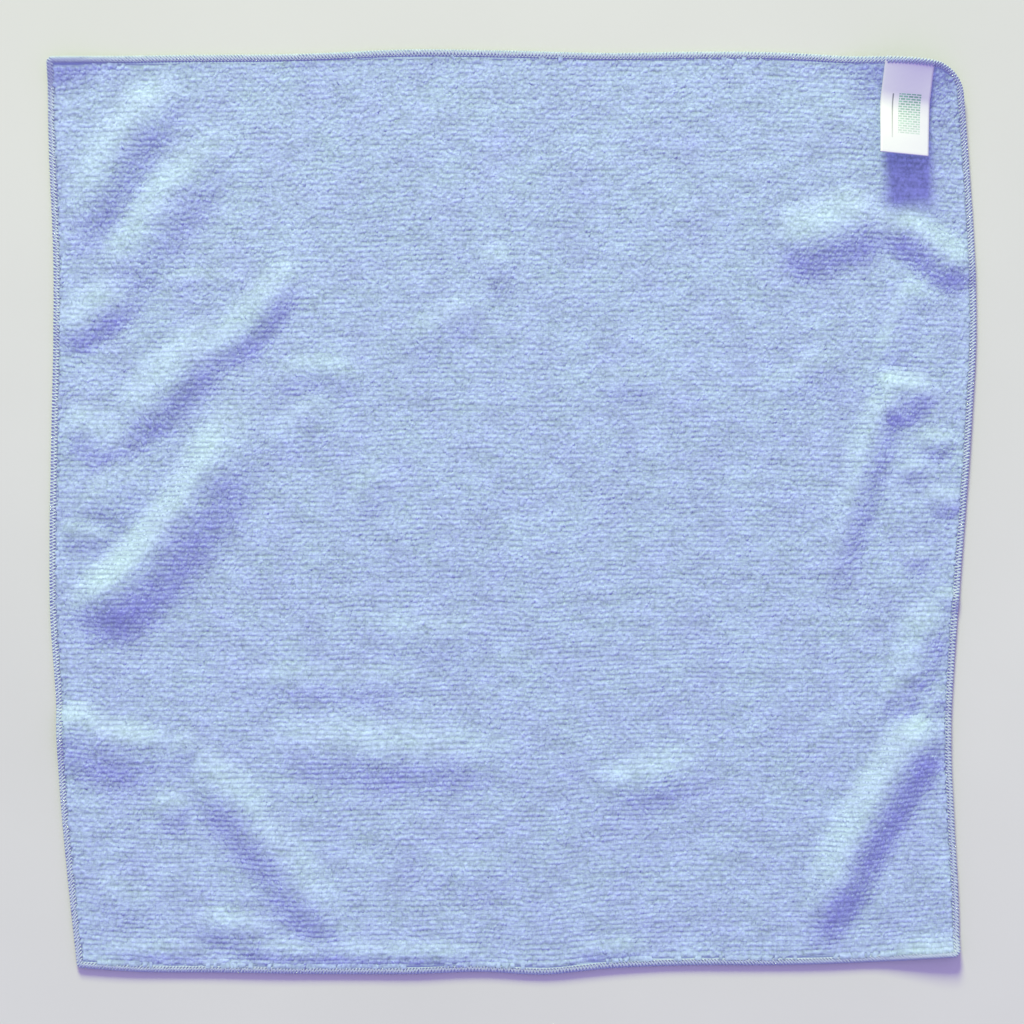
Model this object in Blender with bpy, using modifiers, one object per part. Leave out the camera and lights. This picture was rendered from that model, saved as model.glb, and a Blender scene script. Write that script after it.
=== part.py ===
"""A square microfibre cloth, spread out on a surface, with its folds, overlocked edge and label.

Metres, +Z up. The origin lies on the surface, under the middle of the cloth, and the label is
sewn into the +Y edge. The cloth is one sheet whose flat parts touch the surface. Its folds are
soft ridges: each is a row in FOLDS, with a crest drawn through three points.
"""

from collections import namedtuple

import bmesh
import bpy
import numpy as np

# The cut: a square of cloth, before it was laid out
CLOTH_SIDE = 0.400
CLOTH_THICKNESS = 0.0020
GAP = 0.0004  # between the cloth and the label that lies on it

# The overlocked edge, from the rim inwards. Thickness is a share of the cloth's.
Ring = namedtuple("Ring", "inset thickness")
HEM_RINGS = (
    Ring(0.0000, 0.60),
    Ring(0.0011, 1.00),
    Ring(0.0034, 1.00),
    Ring(0.0047, 0.62),
    Ring(0.0072, 1.00),
)

# The grid between the hem's rings: cells across and along, and how far they crowd to the sides
COLUMNS = 56
ROWS = 56
COLUMN_CROWDING = 0.36
ROW_CROWDING = 0.0

# Where the four corners of the cut lie, and how round each is
Corner = namedtuple("Corner", "x y radius")
BOTTOM_LEFT = Corner(-0.1846, -0.1942, 0.0016)
BOTTOM_RIGHT = Corner(0.1906, -0.1892, 0.0030)
TOP_LEFT = Corner(-0.1972, 0.1927, 0.0026)
TOP_RIGHT = Corner(0.1909, 0.1893, 0.0125)

# How far each edge strays outwards from the straight line between its corners.
# Share runs from left to right, or from bottom to top.
Station = namedtuple("Station", "share out")
TOP_EDGE = (
    Station(0.00, 0.0000),
    Station(0.14, 0.0016),
    Station(0.27, 0.0025),
    Station(0.40, 0.0049),
    Station(0.50, 0.0048),
    Station(0.62, 0.0042),
    Station(0.71, 0.0050),
    Station(0.80, 0.0050),
    Station(0.89, 0.0031),
    Station(1.00, 0.0000),
)
BOTTOM_EDGE = (
    Station(0.00, 0.0000),
    Station(0.07, 0.0021),
    Station(0.16, 0.0029),
    Station(0.29, 0.0042),
    Station(0.38, 0.0046),
    Station(0.46, 0.0041),
    Station(0.53, 0.0056),
    Station(0.60, 0.0034),
    Station(0.69, 0.0025),
    Station(0.80, 0.0029),
    Station(0.90, 0.0021),
    Station(1.00, 0.0000),
)
LEFT_EDGE = (
    Station(0.00, 0.0000),
    Station(0.12, 0.0034),
    Station(0.21, 0.0052),
    Station(0.30, 0.0054),
    Station(0.39, 0.0067),
    Station(0.47, 0.0059),
    Station(0.56, 0.0042),
    Station(0.78, 0.0004),
    Station(0.91, 0.0007),
    Station(1.00, 0.0000),
)
RIGHT_EDGE = (
    Station(0.00, 0.0000),
    Station(0.07, -0.0007),
    Station(0.16, -0.0026),
    Station(0.25, -0.0038),
    Station(0.34, -0.0022),
    Station(0.43, 0.0003),
    Station(0.52, 0.0029),
    Station(0.61, 0.0052),
    Station(0.70, 0.0068),
    Station(0.79, 0.0061),
    Station(0.91, 0.0030),
    Station(1.00, 0.0000),
)

# The photo's scale, and its pixel above the middle of the cloth's own plan
PHOTO_SCALE = 0.000425  # metres a pixel
PHOTO_MIDDLE = (512.25, 511.25)

# The folds. The crest runs from start through middle to end, each read by eye from the photo,
# in pixels across and down. Left and right are how far the fold spreads on each side of the
# crest, seen along that way. Rise and fall are the shares of its length over which the crest
# climbs from the surface and sinks back to it.
Fold = namedtuple("Fold", "name start middle end height left right rise fall")
FOLDS = (
    Fold("corner_outer", (78, 262), (117, 158), (190, 80), 0.0031, 0.0165, 0.0120, 0.35, 0.30),
    Fold("corner_inner", (112, 300), (152, 226), (242, 124), 0.0025, 0.0145, 0.0140, 0.20, 0.45),
    Fold("left_upper", (58, 350), (110, 307), (158, 282), 0.0021, 0.0150, 0.0090, 0.25, 0.50),
    Fold("left_middle", (128, 452), (166, 390), (240, 326), 0.0029, 0.0170, 0.0115, 0.30, 0.35),
    Fold("left_tip", (215, 366), (258, 318), (300, 256), 0.0024, 0.0130, 0.0090, 0.35, 0.40),
    Fold("left_dip", (58, 420), (94, 436), (134, 464), 0.0018, 0.0140, 0.0100, 0.30, 0.35),
    Fold("left_great", (62, 620), (164, 539), (244, 393), 0.0053, 0.0145, 0.0185, 0.20, 0.30),
    Fold("left_low", (58, 704), (108, 740), (186, 744), 0.0029, 0.0120, 0.0165, 0.20, 0.45),
    Fold("foot_slant", (182, 742), (262, 836), (350, 962), 0.0034, 0.0145, 0.0120, 0.30, 0.30),
    Fold("low_middle", (250, 740), (386, 754), (535, 758), 0.0018, 0.0160, 0.0130, 0.30, 0.40),
    Fold("low_right", (588, 790), (645, 780), (722, 763), 0.0017, 0.0140, 0.0120, 0.45, 0.50),
    Fold("arch_left", (772, 251), (835, 232), (892, 211), 0.0031, 0.0190, 0.0140, 0.25, 0.30),
    Fold("arch_right", (874, 214), (922, 240), (976, 290), 0.0033, 0.0120, 0.0100, 0.30, 0.30),
    Fold("right_long", (832, 606), (861, 480), (894, 388), 0.0026, 0.0100, 0.0090, 0.50, 0.12),
    Fold("right_short", (876, 390), (908, 391), (942, 404), 0.0024, 0.0100, 0.0120, 0.20, 0.45),
    Fold("right_low", (900, 702), (918, 662), (936, 590), 0.0023, 0.0130, 0.0100, 0.25, 0.40),
    Fold("right_great", (812, 956), (866, 826), (945, 706), 0.0048, 0.0150, 0.0122, 0.30, 0.20),
)

# Broad lifts of the cloth at its corners, as soft mounds about a point
Lift = namedtuple("Lift", "name x y reach_x reach_y height")
LIFTS = (
    Lift("top_left", -0.201, 0.198, 0.052, 0.025, 0.0040),
    Lift("top_right", 0.174, 0.200, 0.038, 0.088, 0.0050),
    Lift("label_hem", 0.166, 0.200, 0.036, 0.034, 0.0062),
    Lift("bottom_right", 0.193, -0.192, 0.048, 0.015, 0.0030),
)
HEIGHT_SCALE = 1.14  # sets all folds' heights at once, and the next two all their spreads
LEFT_SCALE = 1.12
RIGHT_SCALE = 1.60
CREST_STEPS = 24  # straight runs that stand for one fold's crest
BUMP_POWER = 3  # the higher, the longer a fold runs out into the flat cloth
FOLD_TIP = 0.7  # a fold's spread at its tips, as a share of its full spread

# The label: a satin strip, folded across at its free end, so it is two layers thick
LABEL_WIDTH = 0.0206
LABEL_THICKNESS = 0.0010
LABEL_EDGE_SHARE = 0.9420  # where its middle meets the top edge, as a share of that edge
LABEL_CREASE = 0.0187  # how far it runs from the edge to the crease across it
LABEL_CREASE_SLANT = 0.17
LABEL_TURN = 0.098  # how far it runs to -X for each metre to -Y, up to the crease
LABEL_TURN_PAST = 0.058  # and past it
LABEL_SKEW = 0.080  # how far its ends slope across it
LABEL_TWIST = 0.0014  # how much higher its left side ends than its right
LABEL_ACROSS = 4
LABEL_ALONG = 16
# Its rise above the cloth beneath it, by how far it has run past the crease
Rise = namedtuple("Rise", "past height")
LABEL_RISES = (
    Rise(-0.0060, 0.0000),
    Rise(-0.0020, 0.0001),
    Rise(0.0020, 0.0010),
    Rise(0.0080, 0.0031),
    Rise(0.0160, 0.0063),
    Rise(0.0242, 0.0094),
)
LABEL_START = 0.0008  # where it starts, in from the cloth's edge
LABEL_END = 0.0410

PALE_BLUE = (0.41, 0.52, 0.76, 1.0)
WHITE = (0.88, 0.88, 0.90, 1.0)


def smooth_through(places, values, wanted):
    """The value at each wanted place of a smooth curve through the values."""
    places = np.asarray(places)
    values = np.asarray(values)
    slopes = np.gradient(values, places)
    left = np.clip(np.searchsorted(places, wanted) - 1, 0, len(places) - 2)
    gap = places[left + 1] - places[left]
    t = (wanted - places[left]) / gap
    held = values[left] * (1 + 2 * t) * (1 - t) ** 2 + values[left + 1] * t * t * (3 - 2 * t)
    turned = slopes[left] * t * (1 - t) ** 2 - slopes[left + 1] * t * t * (1 - t)
    return held + gap * turned


def soft_step(t):
    """0 to 1 with level ends."""
    t = np.clip(t, 0.0, 1.0)
    return t * t * (3 - 2 * t)


def soft_bump(distance):
    """1 at no distance, falling to a level 0 at a distance of 1."""
    near = np.clip(distance, 0.0, 1.0)
    return (1 - near * near) ** BUMP_POWER


def edge_points(start, end, stations, outwards, share):
    """Points on one edge of the cloth at each share of it."""
    start_point = np.array((start.x, start.y))
    end_point = np.array((end.x, end.y))
    out = smooth_through([s.share for s in stations], [s.out for s in stations], share)
    line = start_point + np.outer(share, end_point - start_point)
    return line + np.outer(out, outwards)


def rounded_cut(x, y):
    """Draws points of the square cut near a corner in to that corner's arc."""
    half = CLOTH_SIDE / 2
    x = x.copy()
    y = y.copy()
    corners = ((BOTTOM_LEFT, -1, -1), (BOTTOM_RIGHT, 1, -1), (TOP_LEFT, -1, 1), (TOP_RIGHT, 1, 1))
    for corner, side_x, side_y in corners:
        centre = half - corner.radius
        a = (x * side_x - centre) / corner.radius
        b = (y * side_y - centre) / corner.radius
        inside = (a > 0) & (b > 0)
        reach = np.maximum(a, b)
        low = np.minimum(a, b)
        share = np.where(inside, low / np.where(inside, reach, 1.0), 0.0)
        angle = np.where(a >= b, share, 2 - share) * np.pi / 4
        x = np.where(inside, side_x * (centre + corner.radius * reach * np.cos(angle)), x)
        y = np.where(inside, side_y * (centre + corner.radius * reach * np.sin(angle)), y)
    return x, y


def laid_plan(cut_x, cut_y):
    """Where points of the flat cut lie, seen from above: a patch blended from the four edges."""
    cut_x, cut_y = rounded_cut(cut_x, cut_y)
    u = cut_x / CLOTH_SIDE + 0.5
    v = cut_y / CLOTH_SIDE + 0.5
    bottom = edge_points(BOTTOM_LEFT, BOTTOM_RIGHT, BOTTOM_EDGE, (0, -1), u)
    top = edge_points(TOP_LEFT, TOP_RIGHT, TOP_EDGE, (0, 1), u)
    left = edge_points(BOTTOM_LEFT, TOP_LEFT, LEFT_EDGE, (-1, 0), v)
    right = edge_points(BOTTOM_RIGHT, TOP_RIGHT, RIGHT_EDGE, (1, 0), v)
    u = u[:, None]
    v = v[:, None]
    flat = (1 - u) * (1 - v) * np.array((BOTTOM_LEFT.x, BOTTOM_LEFT.y))
    flat = flat + u * (1 - v) * np.array((BOTTOM_RIGHT.x, BOTTOM_RIGHT.y))
    flat = flat + (1 - u) * v * np.array((TOP_LEFT.x, TOP_LEFT.y))
    flat = flat + u * v * np.array((TOP_RIGHT.x, TOP_RIGHT.y))
    plan = (1 - v) * bottom + v * top + (1 - u) * left + u * right - flat
    return plan[:, 0], plan[:, 1]


def from_photo(place):
    """A place in the photo, in pixels, as a place on the surface, in metres."""
    across, down = place
    return (across - PHOTO_MIDDLE[0]) * PHOTO_SCALE, (PHOTO_MIDDLE[1] - down) * PHOTO_SCALE


def crest_points(fold):
    """Points along a fold's crest, on one smooth bend through its three points."""
    places = (fold.start, fold.middle, fold.end)
    start, middle, end = (np.array(from_photo(place)) for place in places)
    pull = 2 * middle - (start + end) / 2
    t = np.linspace(0.0, 1.0, CREST_STEPS + 1)[:, None]
    return (1 - t) ** 2 * start + 2 * t * (1 - t) * pull + t * t * end


def fold_height(fold, x, y):
    """How high one fold lifts the cloth at each point."""
    crest = crest_points(fold)
    runs = np.diff(crest, axis=0)
    lengths = np.hypot(runs[:, 0], runs[:, 1])
    passed = np.concatenate(([0.0], np.cumsum(lengths)))
    nearest = np.full(x.shape, np.inf)
    reach = np.ones(x.shape)
    along = np.zeros(x.shape)
    for (from_x, from_y), (run_x, run_y), length, before in zip(crest, runs, lengths, passed):
        t = ((x - from_x) * run_x + (y - from_y) * run_y) / length**2
        t = np.clip(t, 0.0, 1.0)
        off_x = x - from_x - t * run_x
        off_y = y - from_y - t * run_y
        distance = np.hypot(off_x, off_y)
        closer = distance < nearest
        on_left = run_x * off_y - run_y * off_x > 0
        nearest = np.where(closer, distance, nearest)
        own_reach = np.where(on_left, LEFT_SCALE * fold.left, RIGHT_SCALE * fold.right)
        reach = np.where(closer, own_reach, reach)
        along = np.where(closer, (before + t * length) / passed[-1], along)
    ends = soft_step(along / fold.rise) * soft_step((1 - along) / fold.fall)
    spread = reach * (FOLD_TIP + (1 - FOLD_TIP) * ends)
    return HEIGHT_SCALE * fold.height * soft_bump(nearest / spread) * ends


def cloth_height(x, y):
    """Height of the cloth's underside above the surface."""
    height = np.zeros(x.shape)
    for fold in FOLDS:
        height += fold_height(fold, x, y)
    for lift in LIFTS:
        distance = np.hypot((x - lift.x) / lift.reach_x, (y - lift.y) / lift.reach_y)
        height += lift.height * soft_bump(distance)
    return height


def cut_lines(cells, crowding):
    """Places of the grid's lines across the flat cut, the hem's rings at both ends among them."""
    insets = [ring.inset for ring in HEM_RINGS]
    inner = CLOTH_SIDE / 2 - insets[-1]
    step = np.linspace(0.0, 1.0, cells + 1)
    crowded = step - crowding * np.sin(2 * np.pi * step) / (2 * np.pi)
    between = inner * (2 * crowded[1:-1] - 1)
    rim = CLOTH_SIDE / 2 - np.array(insets)
    return np.concatenate((-rim, between, rim[::-1]))


def hem_thickness(cut_x, cut_y):
    """Thickness at each point of the cut, as a share of the cloth's."""
    inset = CLOTH_SIDE / 2 - np.maximum(abs(cut_x), abs(cut_y))
    return np.interp(inset, [ring.inset for ring in HEM_RINGS], [ring.thickness for ring in HEM_RINGS])


def principled(name, colour, roughness, sheen):
    material = bpy.data.materials.new(name)
    material.use_nodes = True
    shader = material.node_tree.nodes["Principled BSDF"]
    shader.inputs["Base Color"].default_value = colour
    shader.inputs["Roughness"].default_value = roughness
    shader.inputs["Metallic"].default_value = 0.0
    shader.inputs["Sheen Weight"].default_value = sheen
    return material


def grid_object(name, cells_x, cells_y, place, material, collection):
    """A grid whose vertices lie where place() puts them, given each one's column and row."""
    mesh = bpy.data.meshes.new(name)
    grid = bmesh.new()
    bmesh.ops.create_grid(grid, x_segments=cells_x, y_segments=cells_y, size=0.5)
    column = np.array([round((vertex.co.x + 0.5) * cells_x) for vertex in grid.verts])
    row = np.array([round((vertex.co.y + 0.5) * cells_y) for vertex in grid.verts])
    for vertex, point in zip(grid.verts, place(column, row)):
        vertex.co = point
    grid.to_mesh(mesh)
    grid.free()
    mesh.shade_smooth()
    mesh.materials.append(material)
    sheet = bpy.data.objects.new(name, mesh)
    collection.objects.link(sheet)
    return sheet, column, row


def add_thickness(sheet, thickness, group=""):
    """Gives a surface its thickness, on its upper side."""
    solidify = sheet.modifiers.new("Thickness", "SOLIDIFY")
    solidify.thickness = thickness
    solidify.offset = 1.0
    solidify.use_even_offset = True
    solidify.vertex_group = group


def make_cloth(collection):
    lines_x = cut_lines(COLUMNS, COLUMN_CROWDING)
    lines_y = cut_lines(ROWS, ROW_CROWDING)

    def place(column, row):
        x, y = laid_plan(lines_x[column], lines_y[row])
        return np.column_stack((x, y, cloth_height(x, y)))

    material = principled("microfibre", PALE_BLUE, roughness=0.95, sheen=0.4)
    cloth, column, row = grid_object(
        "cloth", len(lines_x) - 1, len(lines_y) - 1, place, material, collection
    )
    hem = cloth.vertex_groups.new(name="hem")
    for index, share in enumerate(hem_thickness(lines_x[column], lines_y[row])):
        hem.add([index], float(share), "REPLACE")
    add_thickness(cloth, CLOTH_THICKNESS, group=hem.name)
    return cloth


def make_label(collection):
    """The label: it lies on the cloth from the edge to its crease, then rises to its free end."""
    edge = laid_plan(np.array([(LABEL_EDGE_SHARE - 0.5) * CLOTH_SIDE]), np.array([CLOTH_SIDE / 2]))
    root_x, root_y = edge[0][0], edge[1][0]
    pasts = [rise.past for rise in LABEL_RISES]
    rises = [rise.height for rise in LABEL_RISES]
    lie = CLOTH_THICKNESS + GAP

    def level(across, run):
        turn = LABEL_TURN * np.minimum(run, LABEL_CREASE)
        turn = turn + LABEL_TURN_PAST * np.maximum(run - LABEL_CREASE, 0)
        x = root_x + across - turn
        y = root_y - run - LABEL_SKEW * across
        return x, y, cloth_height(x, y)

    def place(column, row):
        across = (column / LABEL_ACROSS - 0.5) * LABEL_WIDTH
        run = LABEL_END + (LABEL_START - LABEL_END) * row / LABEL_ALONG
        past = run - LABEL_CREASE - LABEL_CREASE_SLANT * across
        x, y, beneath = level(across, run)
        free = soft_step(past / pasts[-1])
        flat = beneath + (level(np.zeros(across.shape), run)[2] - beneath) * free
        rise = smooth_through(pasts, rises, np.clip(past, pasts[0], pasts[-1]))
        z = flat + rise - LABEL_TWIST * free * across / LABEL_WIDTH
        return np.column_stack((x, y, np.maximum(z, beneath) + lie))

    material = principled("label_satin", WHITE, roughness=0.35, sheen=0.0)
    label = grid_object("label", LABEL_ACROSS, LABEL_ALONG, place, material, collection)[0]
    add_thickness(label, LABEL_THICKNESS)
    return label


def centre_over_origin(objects):
    """Slides the meshes so that the middle of their plan is over the origin."""
    graph = bpy.context.evaluated_depsgraph_get()
    corners = [
        corner[:2] for sheet in objects for corner in sheet.evaluated_get(graph).bound_box
    ]
    low = np.min(corners, axis=0)
    high = np.max(corners, axis=0)
    middle = (low + high) / 2
    for sheet in objects:
        for vertex in sheet.data.vertices:
            vertex.co.x -= middle[0]
            vertex.co.y -= middle[1]


def main():
    for old in list(bpy.data.objects):
        bpy.data.objects.remove(old)
    collection = bpy.data.collections.new("microfibre_cloth")
    bpy.context.scene.collection.children.link(collection)
    pieces = [make_cloth(collection), make_label(collection)]
    bpy.context.view_layer.update()
    centre_over_origin(pieces)


main()
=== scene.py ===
from collections import namedtuple

import bmesh
import bpy
import numpy as np
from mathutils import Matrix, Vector


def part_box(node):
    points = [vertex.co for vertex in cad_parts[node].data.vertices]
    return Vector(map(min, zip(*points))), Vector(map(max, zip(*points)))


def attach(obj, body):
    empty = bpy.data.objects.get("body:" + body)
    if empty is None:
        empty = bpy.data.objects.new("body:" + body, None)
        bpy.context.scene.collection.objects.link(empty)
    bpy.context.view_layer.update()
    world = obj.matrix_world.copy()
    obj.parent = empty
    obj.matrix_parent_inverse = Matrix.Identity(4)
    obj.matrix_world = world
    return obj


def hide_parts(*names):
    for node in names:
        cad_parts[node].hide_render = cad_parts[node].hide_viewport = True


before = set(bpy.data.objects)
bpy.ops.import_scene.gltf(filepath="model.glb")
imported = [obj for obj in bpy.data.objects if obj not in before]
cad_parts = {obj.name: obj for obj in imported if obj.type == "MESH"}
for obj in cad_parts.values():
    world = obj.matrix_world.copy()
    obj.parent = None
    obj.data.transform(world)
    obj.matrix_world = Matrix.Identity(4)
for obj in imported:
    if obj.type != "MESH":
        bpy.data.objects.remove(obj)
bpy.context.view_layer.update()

# Metres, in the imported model's frame: +Y runs to the edge that holds the label, +Z is up.
# The laid shape below repeats the solid's own tables. The sheet, pile, thread and label here
# all take their place from it.

CLOTH_SIDE = 0.400  # the flat square cut
HALF_SIDE = CLOTH_SIDE / 2

# Where the four corners of the cut lie, and how round each is
Corner = namedtuple("Corner", "x y radius")
BOTTOM_LEFT = Corner(-0.1846, -0.1942, 0.0016)
BOTTOM_RIGHT = Corner(0.1906, -0.1892, 0.0030)
TOP_LEFT = Corner(-0.1972, 0.1927, 0.0026)
TOP_RIGHT = Corner(0.1909, 0.1893, 0.0125)

# How far each edge strays outwards from the straight line between its corners.
# Share runs from left to right, or from bottom to top.
Station = namedtuple("Station", "share out")
TOP_EDGE = (
    Station(0.00, 0.0000),
    Station(0.14, 0.0016),
    Station(0.27, 0.0025),
    Station(0.40, 0.0049),
    Station(0.50, 0.0048),
    Station(0.62, 0.0042),
    Station(0.71, 0.0050),
    Station(0.80, 0.0050),
    Station(0.89, 0.0031),
    Station(1.00, 0.0000),
)
BOTTOM_EDGE = (
    Station(0.00, 0.0000),
    Station(0.07, 0.0021),
    Station(0.16, 0.0029),
    Station(0.29, 0.0042),
    Station(0.38, 0.0046),
    Station(0.46, 0.0041),
    Station(0.53, 0.0056),
    Station(0.60, 0.0034),
    Station(0.69, 0.0025),
    Station(0.80, 0.0029),
    Station(0.90, 0.0021),
    Station(1.00, 0.0000),
)
LEFT_EDGE = (
    Station(0.00, 0.0000),
    Station(0.12, 0.0034),
    Station(0.21, 0.0052),
    Station(0.30, 0.0054),
    Station(0.39, 0.0067),
    Station(0.47, 0.0059),
    Station(0.56, 0.0042),
    Station(0.78, 0.0004),
    Station(0.91, 0.0007),
    Station(1.00, 0.0000),
)
RIGHT_EDGE = (
    Station(0.00, 0.0000),
    Station(0.07, -0.0007),
    Station(0.16, -0.0026),
    Station(0.25, -0.0038),
    Station(0.34, -0.0022),
    Station(0.43, 0.0003),
    Station(0.52, 0.0029),
    Station(0.61, 0.0052),
    Station(0.70, 0.0068),
    Station(0.79, 0.0061),
    Station(0.91, 0.0030),
    Station(1.00, 0.0000),
)

# The photo's scale, and its pixel above the middle of the cloth's own plan
PHOTO_SCALE = 0.000425  # metres a pixel
PHOTO_MIDDLE = (512.25, 511.25)

# The folds. The crest runs from start through middle to end, each read off the photo,
# in pixels across and down. Left and right are how far the fold spreads on each side of the
# crest, seen along that way. Rise and fall are the shares of its length over which the crest
# climbs from the surface and sinks back to it.
Fold = namedtuple("Fold", "name start middle end height left right rise fall")
FOLDS = (
    Fold("corner_outer", (78, 262), (117, 158), (190, 80), 0.0031, 0.0165, 0.0120, 0.35, 0.30),
    Fold("corner_inner", (112, 300), (152, 226), (242, 124), 0.0025, 0.0145, 0.0140, 0.20, 0.45),
    Fold("left_upper", (58, 350), (110, 307), (158, 282), 0.0021, 0.0150, 0.0090, 0.25, 0.50),
    Fold("left_middle", (128, 452), (166, 390), (240, 326), 0.0029, 0.0170, 0.0115, 0.30, 0.35),
    Fold("left_tip", (215, 366), (258, 318), (300, 256), 0.0024, 0.0130, 0.0090, 0.35, 0.40),
    Fold("left_dip", (58, 420), (94, 436), (134, 464), 0.0018, 0.0140, 0.0100, 0.30, 0.35),
    Fold("left_great", (62, 620), (164, 539), (244, 393), 0.0053, 0.0145, 0.0185, 0.20, 0.30),
    Fold("left_low", (58, 704), (108, 740), (186, 744), 0.0029, 0.0120, 0.0165, 0.20, 0.45),
    Fold("foot_slant", (182, 742), (262, 836), (350, 962), 0.0034, 0.0145, 0.0120, 0.30, 0.30),
    Fold("low_middle", (250, 740), (386, 754), (535, 758), 0.0018, 0.0160, 0.0130, 0.30, 0.40),
    Fold("low_right", (588, 790), (645, 780), (722, 763), 0.0017, 0.0140, 0.0120, 0.45, 0.50),
    Fold("arch_left", (772, 251), (835, 232), (892, 211), 0.0031, 0.0190, 0.0140, 0.25, 0.30),
    Fold("arch_right", (874, 214), (922, 240), (976, 290), 0.0033, 0.0120, 0.0100, 0.30, 0.30),
    Fold("right_long", (832, 606), (861, 480), (894, 388), 0.0026, 0.0100, 0.0090, 0.50, 0.12),
    Fold("right_short", (876, 390), (908, 391), (942, 404), 0.0024, 0.0100, 0.0120, 0.20, 0.45),
    Fold("right_low", (900, 702), (918, 662), (936, 590), 0.0023, 0.0130, 0.0100, 0.25, 0.40),
    Fold("right_great", (812, 956), (866, 826), (945, 706), 0.0048, 0.0150, 0.0122, 0.30, 0.20),
)
# Finer creases, which the solid leaves out
WRINKLES = (
    Fold("hem_low_a", (96, 950), (160, 953), (222, 952), 0.0005, 0.0070, 0.0040, 0.30, 0.30),
    Fold("hem_low_b", (212, 950), (360, 955), (510, 956), 0.0008, 0.0075, 0.0040, 0.25, 0.25),
    Fold("hem_low_c", (560, 954), (610, 951), (660, 950), 0.0006, 0.0070, 0.0032, 0.40, 0.40),
    Fold("middle_a", (590, 380), (630, 384), (668, 382), 0.0006, 0.0100, 0.0070, 0.40, 0.40),
    Fold("middle_b", (350, 628), (425, 634), (505, 636), 0.0006, 0.0100, 0.0120, 0.40, 0.40),
    Fold("low_crumple", (424, 866), (470, 870), (520, 868), 0.0006, 0.0100, 0.0120, 0.40, 0.40),
    Fold("left_seam", (158, 282), (205, 278), (255, 284), 0.0004, 0.0050, 0.0060, 0.30, 0.30),
    Fold("rim_left_a", (82, 518), (108, 492), (132, 456), 0.0014, 0.0100, 0.0130, 0.35, 0.35),
    Fold("rim_left_b", (58, 530), (84, 534), (118, 541), 0.0007, 0.0060, 0.0070, 0.20, 0.40),
    Fold("foot_upper", (150, 804), (172, 808), (196, 812), 0.0009, 0.0090, 0.0090, 0.40, 0.40),
    Fold("left_low_tip", (168, 746), (184, 749), (202, 752), 0.0010, 0.0100, 0.0090, 0.40, 0.40),
    Fold("foot_left", (186, 924), (224, 926), (284, 944), 0.0013, 0.0100, 0.0080, 0.35, 0.40),
    Fold("foot_left_b", (84, 880), (118, 896), (164, 914), 0.0008, 0.0100, 0.0090, 0.40, 0.40),
    Fold("low_upper", (225, 680), (330, 682), (460, 678), 0.0007, 0.0100, 0.0080, 0.30, 0.40),
    Fold("centre_a", (392, 352), (442, 326), (488, 292), 0.0010, 0.0110, 0.0120, 0.40, 0.40),
    Fold("centre_b", (268, 392), (318, 370), (368, 394), 0.0009, 0.0090, 0.0080, 0.30, 0.30),
    Fold("centre_c", (344, 524), (366, 492), (386, 456), 0.0006, 0.0080, 0.0090, 0.40, 0.40),
    Fold("centre_d", (770, 398), (805, 376), (856, 364), 0.0008, 0.0100, 0.0100, 0.40, 0.40),
    Fold("centre_e", (478, 270), (498, 266), (518, 262), 0.0010, 0.0110, 0.0120, 0.40, 0.40),
    Fold("centre_f", (266, 456), (296, 426), (338, 402), 0.0008, 0.0100, 0.0120, 0.40, 0.40),
    Fold("right_tip", (878, 376), (896, 330), (918, 276), 0.0010, 0.0070, 0.0100, 0.30, 0.20),
    Fold("rim_right_a", (915, 446), (938, 441), (962, 446), 0.0010, 0.0070, 0.0070, 0.40, 0.40),
    Fold("rim_right_b", (920, 502), (941, 500), (966, 505), 0.0011, 0.0080, 0.0070, 0.40, 0.30),
    Fold("rim_right_c", (898, 560), (916, 558), (936, 560), 0.0006, 0.0070, 0.0060, 0.40, 0.40),
    Fold("rim_right_d", (934, 601), (948, 598), (964, 600), 0.0008, 0.0060, 0.0060, 0.40, 0.20),
    Fold("right_dent", (896, 471), (912, 470), (930, 468), 0.0005, 0.0050, 0.0050, 0.40, 0.40),
    Fold("right_low_b", (878, 690), (900, 697), (922, 712), 0.0013, 0.0090, 0.0090, 0.30, 0.30),
    Fold("right_low_c", (914, 713), (932, 702), (950, 693), 0.0009, 0.0080, 0.0060, 0.40, 0.20),
)
HEIGHT_SCALE = 1.14  # sets the heights of all folds and creases at once
LEFT_SCALE = 1.12  # sets how far they all spread on their left
RIGHT_SCALE = 1.60  # and on their right
CREST_STEPS = 24  # straight runs that stand for one fold's crest
BUMP_POWER = 3  # the higher, the longer a fold runs out into the flat cloth
FOLD_TIP = 0.7  # a fold's spread at its tips, as a share of its full spread

# Broad lifts of the cloth at its corners, as soft mounds about a point
Lift = namedtuple("Lift", "name x y reach_x reach_y height")
LIFTS = (
    Lift("top_left", -0.201, 0.198, 0.052, 0.025, 0.0040),
    Lift("top_right", 0.174, 0.200, 0.038, 0.088, 0.0050),
    Lift("label_hem", 0.166, 0.200, 0.036, 0.034, 0.0062),
    Lift("bottom_right", 0.193, -0.192, 0.048, 0.015, 0.0030),
)

# Random patches: their size, and the seed that they are drawn from
Noise = namedtuple("Noise", "size_x size_y seed")
NOISE_SIDE = 97  # cells in the table that the patches repeat over

# Low uneven swells all over, as the cloth never lies quite flat
Swell = namedtuple("Swell", "height noise")
SWELLS = (
    Swell(0.00030, Noise(0.034, 0.018, 11)),
    Swell(0.00012, Noise(0.022, 0.006, 12)),
)

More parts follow.
